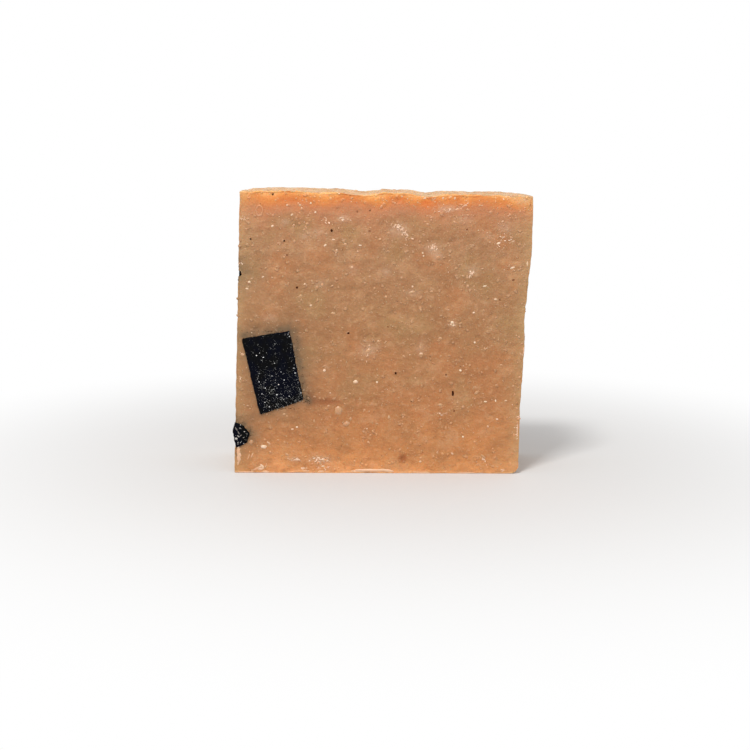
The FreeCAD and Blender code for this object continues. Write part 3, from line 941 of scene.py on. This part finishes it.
def lid_colour(tree, place):
    """The poured top's colour, mottled with paler and browner patches."""
    patches = speckle(tree, place, 3.2, 3.0)
    colour = blend_in(tree, between(tree, patches, 0.35, 0.65), linear(192, 146, 100), linear(214, 176, 134))
    fine = speckle(tree, place, 0.8, 2.0)
    return blend_in(tree, between(tree, fine, 0.56, 0.74, 0.0, 0.5), colour, linear(232, 202, 164))


def soap_patterns(tree, place):
    """The patterns that the orange soap's colour and bumps follow."""
    uneven = bent(tree, place, 0.9, 0.5)
    return {
        "clouds": speckle(tree, place, 12.0, 2.0),
        "smears": speckle(tree, place, 4.0, 3.0, (0.75, 0.9, 1.1)),
        "mottle": speckle(tree, place, 1.5, 3.0),
        "fine": speckle(tree, place, 0.5, 2.0),
        "blobs": spots(tree, uneven, 2.5, 0.62, 0.45),
        "specks": spots(tree, uneven, 1.15, 0.24, 0.40),
        "dark": spots(tree, uneven, 2.1, 0.26, 0.16),
        "on_lid": between(tree, mark(tree, "lid"), 0.60, 0.92, 0.0, 0.9),
    }


def soap_colour(tree, place, patterns):
    """The orange soap's colour: by height, then mottled, then marked, and another on the top."""
    high_up = between(tree, height_of(tree, place), 8.0, 32.0, 0.15, 0.75)
    olive = times(tree, between(tree, patterns["clouds"], 0.50, 0.66), high_up)
    colour = blend_in(tree, olive, level_colour(tree, place), linear(173, 131, 86))
    for name, low, high, most, over in (
        ("clouds", 0.50, 0.34, 0.50, (190, 124, 76)), ("smears", 0.50, 0.34, 0.30, (156, 104, 62)),
        ("smears", 0.52, 0.70, 0.36, (206, 156, 112)), ("mottle", 0.48, 0.30, 0.22, (146, 94, 56)),
        ("mottle", 0.54, 0.72, 0.30, (218, 170, 128)), ("fine", 0.58, 0.75, 0.22, (226, 182, 140)),
        ("fine", 0.42, 0.28, 0.20, (136, 86, 52)),
    ):
        colour = blend_in(tree, between(tree, patterns[name], low, high, 0.0, most), colour, linear(*over))
    # The painted glow of light through the top edge.
    colour = glow_colour(tree, colour, place)
    wisps = between(tree, speckle(tree, place, 0.9, 3.0), 0.3, 0.6, 0.35, 1.1)
    for share, over in (
        # Embers: a painted deep orange glow of light through the soap under the top edge.
        (times(tree, mark(tree, "ember"), 0.75), (222, 116, 48)),
        (times(tree, mark(tree, "haze"), wisps), (216, 178, 150)),
        # Painted light shining through the soap near its sides.
        (times(tree, mark(tree, "painted_edge_light"), 0.60), (197, 160, 113)),
        (between(tree, mark(tree, "brown"), 0.0, 1.0, 0.0, 0.75), (156, 88, 44)),
        # Painted shade round the black pieces, together with the grey smudges.
        (times(tree, mark(tree, "grey"), 0.92), (112, 91, 66)),
        (times(tree, patterns["blobs"], 0.34), (224, 178, 138)),
        (times(tree, patterns["specks"], 0.60), (232, 192, 152)),
        (times(tree, patterns["dark"], 0.50), (120, 72, 40)),
    ):
        colour = blend_in(tree, share, colour, linear(*over))
    return blend_in(tree, patterns["on_lid"], colour, lid_colour(tree, place))


def soap_bumps(tree, place, patterns):
    """The height of the orange soap's bumps, with a crust on the top."""
    crust = times(tree, patterns["on_lid"], plus(tree, speckle(tree, place, 2.4, 4.0), -0.5))
    height = times(tree, crust, 6.0)
    for name, share in (("mottle", 1.1), ("fine", 0.6), ("blobs", 0.8), ("specks", 0.6), ("dark", -0.5)):
        height = plus(tree, height, times(tree, patterns[name], share))
    return height


def orange_soap_material():
    """Orange soap: mottled, speckled and waxy."""
    material, tree, shader = new_material("orange_soap")
    place = millimetres(tree)
    patterns = soap_patterns(tree, place)
    roughness = between(tree, patterns["fine"], 0.35, 0.65, 0.34, 0.55)
    bumps = (soap_bumps(tree, place, patterns), 0.26)
    fill(tree, shader, soap_colour(tree, place, patterns), roughness, 0.35, (0.25, 1.4), bumps)
    return material


def grain_material(name, dark, pale, roughness, weight, reach, gloss=0.5, lean=1.0):
    """Small grains whose colour differs from one to the next; most are dark where lean is over 1."""
    material, tree, shader = new_material(name)
    which = add(tree, "NewGeometry").outputs["Random Per Island"]
    which = add(tree, "Math", {0: which, 1: lean}, operation="POWER").outputs[0]
    colour = blend_in(tree, which, linear(*dark), linear(*pale))
    grain = speckle(tree, millimetres(tree), 0.3, 2.0)
    colour = blend_in(tree, between(tree, grain, 0.45, 0.75, 0.0, 0.3), colour, linear(*pale))
    fill(tree, shader, colour, roughness, gloss, (weight, reach), (grain, 0.05))
    return material


def soap_grain_material():
    """Grains of the orange soap itself, a little paler than the soap around them."""
    material, tree, shader = new_material("soap_grain")
    place = millimetres(tree)
    # The same painted bounce light at the base and painted glow under the top as on the soap.
    colour = glow_colour(tree, level_colour(tree, place), place)
    which = add(tree, "NewGeometry").outputs["Random Per Island"]
    paler = between(tree, which, 0.0, 1.0, 0.05, 0.46, "LINEAR")
    colour = blend_in(tree, paler, colour, linear(226, 179, 138))
    # Painted shade round the black pieces.
    colour = blend_in(tree, times(tree, mark(tree, "grey"), 0.75), colour, linear(112, 91, 66))
    fill(tree, shader, colour, 0.34, wax=(0.15, 0.3))
    return material


def black_soap_material():
    """Black soap: charcoal, with bluish clear patches in clouds all over it, and a sugary grain."""
    material, tree, shader = new_material("black_soap")
    place = millimetres(tree)
    clouds = speckle(tree, place, 5.0, 2.0)
    colour = blend_in(tree, between(tree, clouds, 0.42, 0.60), linear(8, 8, 9), linear(3, 5, 18))
    grain = speckle(tree, place, 0.34, 2.0)
    colour = blend_in(tree, between(tree, grain, 0.56, 0.78, 0.0, 0.25), colour, linear(52, 56, 62))
    dots = spots(tree, place, 0.62, 0.12, 0.4)
    colour = blend_in(tree, times(tree, dots, 0.4), colour, linear(118, 120, 120))
    roughness = between(tree, grain, 0.3, 0.7, 0.32, 0.6)
    fill(tree, shader, colour, roughness, 0.05, bumps=(plus(tree, grain, dots), 0.16))
    return material


def dress(material, slot, *pieces):
    """Gives pieces a material and a body. Each comes with the angle it is smoothed up to. The slot is not
    used.
    """
    for piece, smooth_angle in pieces:
        piece.data.materials.clear()
        piece.data.materials.append(material)
        for polygon in piece.data.polygons:
            polygon.use_smooth = True
        piece.data.set_sharp_from_angle(angle=math.radians(smooth_angle))
        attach(piece, "root")


def build_bar():
    """The soap, its black pieces, and what is set into their surfaces."""
    draw = np.random.default_rng(SEED)
    soap = build_soap_skin()
    slab, slab_cutter = build_black_piece("black_slab", "black_block", 0.25, 0.20, 0.00)
    low, low_cutter = build_black_piece("black_nugget_low", "black_lump_low", 0.20, 0.24, -0.04)
    high, high_cutter = build_black_piece("black_nugget_high", "black_lump_high", 0.18, 0.16, 0.08, 0.45)
    cut_sockets(soap, [slab_cutter, low_cutter, high_cutter])
    mark_soap(soap)
    mark_depth(soap)
    face = shape_tree(soap)
    fine = build_grains(draw, soap, "soap_grains", 5600, (0.12, 0.44), 0.75, 0.46)
    white = build_grains(draw, soap, "white_grains", 500, (0.07, 0.20), 0.8, 0.2)
    bright = build_named_lumps(draw, face, "bright_grains", GRAINS, 0.14, 0.35, 0.75)
    blobs = build_named_lumps(draw, face, "pale_blobs", BLOBS, 0.08, 0.42, 0.62)
    lips = build_named_lumps(draw, face, "pressed_lips", LIPS, 0.12, 0.50, 0.6)
    seeds = build_named_lumps(draw, face, "seeds", SEEDS, 0.12, 0.20, 0.9)
    faint = build_named_lumps(draw, face, "faint_seeds", FAINT_SEEDS, 0.12, 0.35, 0.6)
    glints = build_named_lumps(draw, shape_tree(low), "nugget_glints", NUGGET_GLINTS, 0.2, 0.35, 0.6)
    stars = build_named_lumps(draw, shape_tree(slab), "slab_glints", SLAB_GLINTS, 0.2, 0.10, 0.8)
    crumbs = build_crumbs(draw, face)
    flakes = build_flakes(draw, face)
    rims = build_bubble_rims(face)
    crystals = build_sparkles(draw, (slab, low, high))
    others = build_grains(draw, soap, "side_seeds", 26, (0.20, 0.34), 0.8, 0.3, away_from_front)
    mark_depth(fine)
    mark_depth(rims)

    dress(orange_soap_material(), "orange_soap", (soap, 50))
    dress(soap_grain_material(), "orange_soap", (fine, 45), (rims, 70))
    dress(black_soap_material(), "black_soap", (slab, 60), (low, 60), (high, 60))
    # Grains: their darkest and palest colour, roughness, waxiness and its reach, gloss and lean.
    white_grain = grain_material("white_grain", (216, 168, 128), (248, 220, 190), 0.38, 0.1, 0.2)
    flake = grain_material("flake", (226, 174, 134), (248, 216, 188), 0.42, 0.0, 0.2)
    blob = grain_material("blob", (190, 140, 98), (208, 160, 119), 0.28, 0.2, 0.6)
    # Pale lips: soap pressed out at the edges, partly a painted highlight and light through the soap.
    lip = grain_material("lip", (224, 170, 130), (242, 202, 168), 0.36, 0.1, 0.4)
    brown_seed = grain_material("brown_seed", (116, 66, 36), (136, 84, 50), 0.5, 0.1, 0.8, 0.2)
    seed = grain_material("seed", (46, 16, 4), (72, 30, 12), 0.7, 0.0, 1.0, 0.03)
    facet = grain_material("facet", (84, 77, 70), (212, 205, 196), 0.3, 0.0, 0.5)
    star = grain_material("star", (210, 212, 214), (255, 255, 252), 0.25, 0.0, 0.5)
    crystal = grain_material("crystal", (30, 32, 36), (252, 252, 246), 0.3, 0.0, 0.5, 0.4, 2.3)
    dress(white_grain, "orange_soap", (white, 30), (bright, 40))
    dress(flake, "orange_soap", (flakes, 30))
    dress(blob, "orange_soap", (blobs, 70))
    dress(lip, "orange_soap", (lips, 60))
    dress(brown_seed, "orange_soap", (faint, 60))
    dress(seed, "black_soap", (seeds, 60), (others, 60), (crumbs, 40))
    dress(facet, "black_soap", (glints, 40))
    dress(star, "black_soap", (stars, 40))
    dress(crystal, "black_soap", (crystals, 20))
    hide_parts("soap_bar")
    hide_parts("black_slab")
    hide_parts("black_nugget_low")
    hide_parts("black_nugget_high")


def build_floor():
    """A pale floor that turns into the white background away from the bar."""
    corners = [(x * FLOOR_HALF, y * FLOOR_HALF, 0.0) for x, y in ((-1, -1), (1, -1), (1, 1), (-1, 1))]
    floor = mesh_object("floor", corners, [(0, 1, 2, 3)])
    material, tree, shader = new_material("pale_floor")
    fill(tree, shader, linear(214, 213, 212), 0.9, 0.1)
    away = add(tree, "VectorMath", {0: millimetres(tree)}, operation="LENGTH").outputs["Value"]
    seen = add(tree, "LightPath").outputs["Is Camera Ray"]
    fade = times(tree, between(tree, away, *FLOOR_FADE), seen)
    white = add(tree, "Emission", {"Color": (1, 1, 1, 1), "Strength": 1.0})
    mixed = add(tree, "MixShader", {0: fade, 1: shader.outputs[0], 2: white.outputs[0]})
    feed(tree, tree.nodes["Material Output"], {"Surface": mixed.outputs[0]})
    floor.data.materials.append(material)


def build_studio():
    """Even pale surroundings, and one soft light from above, a little from the front left."""
    world = bpy.data.worlds.new("surroundings")
    world.use_nodes = True
    tree = world.node_tree
    seen = add(tree, "LightPath").outputs["Is Camera Ray"]
    strength = between(tree, seen, 0.0, 1.0, SURROUNDINGS, 1.0)
    feed(tree, tree.nodes["Background"], {"Color": (1, 1, 1, 1), "Strength": strength})
    bpy.context.scene.world = world
    data = bpy.data.lights.new("light_above", "AREA")
    data.size = LIGHT_SIDE * MM
    data.energy = LIGHT_POWER
    light = put("light_above", data)
    light.location = LIGHT_PLACE * MM
    aim = Vector((0, 0, HEIGHT / 2)) - LIGHT_PLACE
    light.rotation_euler = aim.to_track_quat("-Z", "Y").to_euler()


def build_camera():
    """The camera where the photograph was taken from."""
    data = bpy.data.cameras.new("camera")
    data.sensor_width = SENSOR
    data.lens = LENS
    data.clip_start = 0.01
    camera = put("camera", data)
    camera.matrix_world = Matrix.Translation(CAMERA_PLACE * MM) @ CAMERA_TURN.to_4x4()
    bpy.context.scene.camera = camera


build_camera()
build_bar()
build_floor()
build_studio()
bpy.context.scene.view_settings.view_transform = "Standard"
